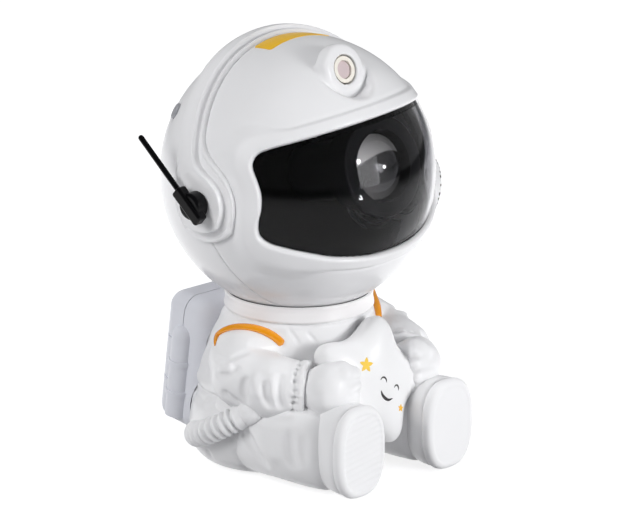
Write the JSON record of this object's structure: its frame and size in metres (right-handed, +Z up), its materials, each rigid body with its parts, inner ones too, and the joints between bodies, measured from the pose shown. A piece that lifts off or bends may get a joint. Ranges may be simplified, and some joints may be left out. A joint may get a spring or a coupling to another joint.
{
  "type": "seated astronaut night-light projector",
  "caption": "Seated astronaut projector: a ball helmet with smoked visor, dome lens and star laser turns on a magnetic neck over a body holding a star.",
  "frame": {"origin": "on the flat underside of the anti-slip pad, below the centre of the helmet", "axes": "+Z up, the figure faces -Y, its right hand is towards -X"},
  "size_m": [0.1478, 0.1366, 0.2036],
  "materials": {
    "aluminium": "extruded",
    "antenna_black": "gloss",
    "barrel_black": "satin",
    "board_green": "solder mask",
    "board_white": "solder mask",
    "brass": "turned",
    "button_grey": "satin",
    "collar_white": "satin",
    "disc_clear": "clear, rippled",
    "frame_black": "matt",
    "glide_grey": "matt",
    "led_yellow": "encapsulant",
    "lens_glass": "polished",
    "magnet_nickel": "nickel plated",
    "mesh_white": "satin",
    "motor_can": "drawn",
    "pack_white": "satin",
    "pad_rubber": "matt",
    "patch_yellow": "gloss",
    "piping_orange": "gloss",
    "ring_cream": "satin",
    "shell_white": "satin gloss",
    "sole_white": "matt",
    "speaker_dark": "paper and steel",
    "star_white": "satin",
    "steel": "zinc plated",
    "suit_white": "satin",
    "visor_smoke": "mirror gloss, smoked",
    "window_pink": "polished"
  },
  "bodies": {
    "stand": {"neck_collar": "collar_white", "neck_plate": "suit_white", "neck_magnet": "magnet_nickel", "torso_front_shell": "suit_white", "torso_rear_shell": "suit_white", "base_cover": "suit_white", "base_pad": "pad_rubber", "ballast_weight": "steel", "star": "star_white", "right_sleeve": "suit_white", "left_sleeve": "suit_white", "right_glove": "suit_white", "left_glove": "suit_white", "right_leg": "suit_white", "left_leg": "suit_white", "right_boot": "suit_white", "left_boot": "suit_white", "right_sole": "sole_white", "left_sole": "sole_white", "right_shoulder_piping": "piping_orange", "left_shoulder_piping": "piping_orange", "backpack_front_shell": "pack_white", "backpack_rear_shell": "pack_white", "right_side_tank": "pack_white", "left_side_tank": "pack_white", "air_hose": "suit_white", "hose_connector": "suit_white"},
    "glide": {"neck_glide_ring": "glide_grey"},
    "head": {"helmet_front_shell": "shell_white", "helmet_rear_shell": "shell_white", "headphone_band": "shell_white", "right_ear_pod": "shell_white", "left_speaker_pod": "shell_white", "speaker_mesh": "mesh_white", "speaker_driver": "speaker_dark", "visor": "visor_smoke", "visor_frame": "frame_black", "forehead_patch": "patch_yellow", "laser_ring": "ring_cream", "laser_window": "window_pink", "laser_module": "brass", "grating_motor": "motor_can", "lens_barrel": "barrel_black", "nebula_lens": "lens_glass", "ripple_motor": "motor_can", "chassis_plate": "frame_black", "led_board": "board_white", "led_array": "led_yellow", "heat_sink": "aluminium", "main_board": "board_green", "usb_socket": "steel", "keeper_plate": "steel"},
    "antenna": {"antenna_knob": "antenna_black", "antenna_rod": "antenna_black"},
    "star_button": {"star_button": "button_grey"},
    "nebula_button": {"nebula_button": "button_grey"},
    "ripple_wheel": {"ripple_disc": "disc_clear"},
    "grating": {"grating_wheel": "disc_clear"}
  },
  "joints": [
    {"name": "head_yaw", "type": "hinge", "parent": "stand", "child": "glide", "pos_m": [0, 0, 0.13598], "axis": [0, 0, 1], "continuous": true},
    {"name": "head_tilt", "type": "hinge", "parent": "glide", "child": "head", "pos_m": [0, 0, 0.13598], "axis": [0.9972, 0, 0.075], "range_deg": [-20, 25]},
    {"name": "antenna_swivel", "type": "hinge", "parent": "head", "child": "antenna", "pos_m": [-0.0685, -0.00326, 0.13439], "axis": [-0.9986, -0.0475, -0.0231], "range_deg": [-75, 75]},
    {"name": "star_button_press", "type": "slide", "parent": "head", "child": "star_button", "axis": [0.6743, -0.5681, -0.4719], "range_m": [0, 0.001], "stiffness_N_per_m": 600, "springref_m": -0.0006},
    {"name": "nebula_button_press", "type": "slide", "parent": "head", "child": "nebula_button", "axis": [-0.5961, -0.5681, -0.5674], "range_m": [0, 0.001], "stiffness_N_per_m": 600, "springref_m": -0.0006},
    {"name": "ripple_spin", "type": "hinge", "parent": "head", "child": "ripple_wheel", "pos_m": [0.01441, -0.0344, 0.13102], "axis": [-0.0178, -0.9715, 0.2362], "continuous": true},
    {"name": "grating_spin", "type": "hinge", "parent": "head", "child": "grating", "pos_m": [0.00453, -0.02301, 0.18242], "axis": [-0.0228, -0.9527, 0.3032], "continuous": true}
  ]
}
